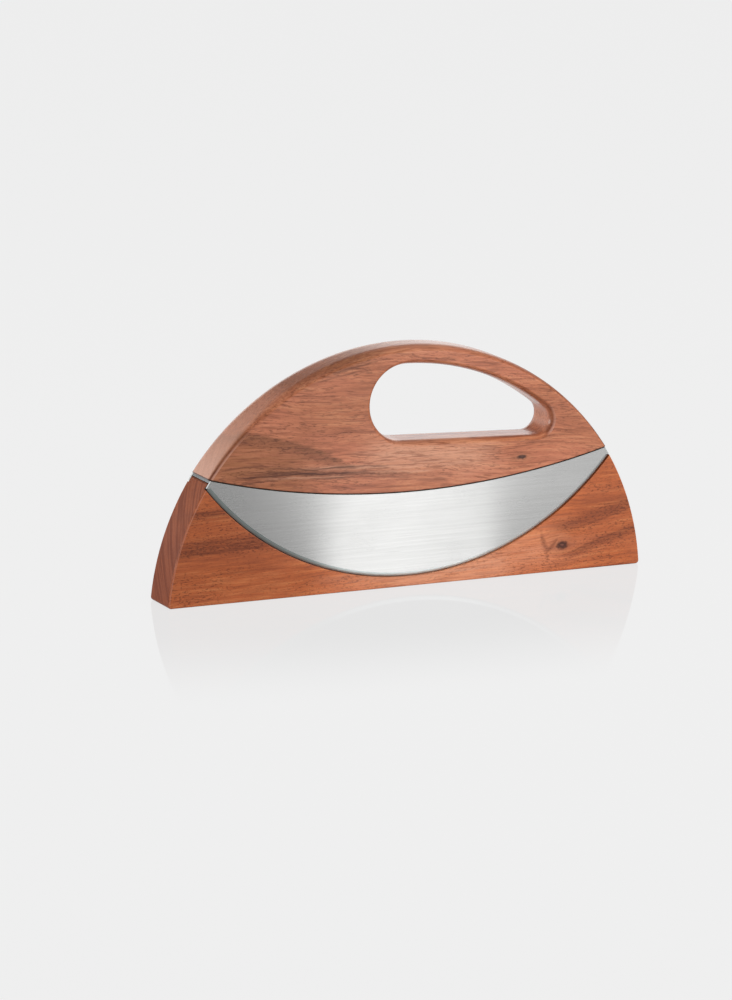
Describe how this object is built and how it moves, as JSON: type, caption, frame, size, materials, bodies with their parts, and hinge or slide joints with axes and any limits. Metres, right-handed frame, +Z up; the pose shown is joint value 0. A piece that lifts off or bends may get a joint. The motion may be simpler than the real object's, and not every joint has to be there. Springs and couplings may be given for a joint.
{
  "type": "mezzaluna",
  "caption": "Half-disc mezzaluna: crescent steel blades bridged under a wooden handle with an off-centre hand hole, seated over a matching wooden storage block.",
  "frame": {"origin": "middle of the storage block's flat base", "axes": "+X along the length towards the narrow end of the hand hole, +Y from the front face to the back face, +Z up"},
  "size_m": [0.2986, 0.025, 0.1385],
  "materials": {
    "handle_wood": "oiled, satin, fine dark pores",
    "block_wood": "oiled, satin, redder boards with a small knot",
    "blade_steel": "brushed along the length, ground bevel",
    "screw_steel": "plain zinc-plated"
  },
  "bodies": {
    "block": {"storage_block": "block_wood"},
    "knife": {"handle": "handle_wood", "blade_bridge": "blade_steel", "front_blade": "blade_steel", "rear_blade": "blade_steel", "bridge_screw_1": "screw_steel", "bridge_screw_2": "screw_steel", "bridge_screw_3": "screw_steel", "bridge_screw_4": "screw_steel"}
  },
  "joints": [
    {"name": "knife_lift", "type": "slide", "parent": "block", "child": "knife", "axis": [0, 0, 1], "range_m": [0, 0.08]}
  ]
}
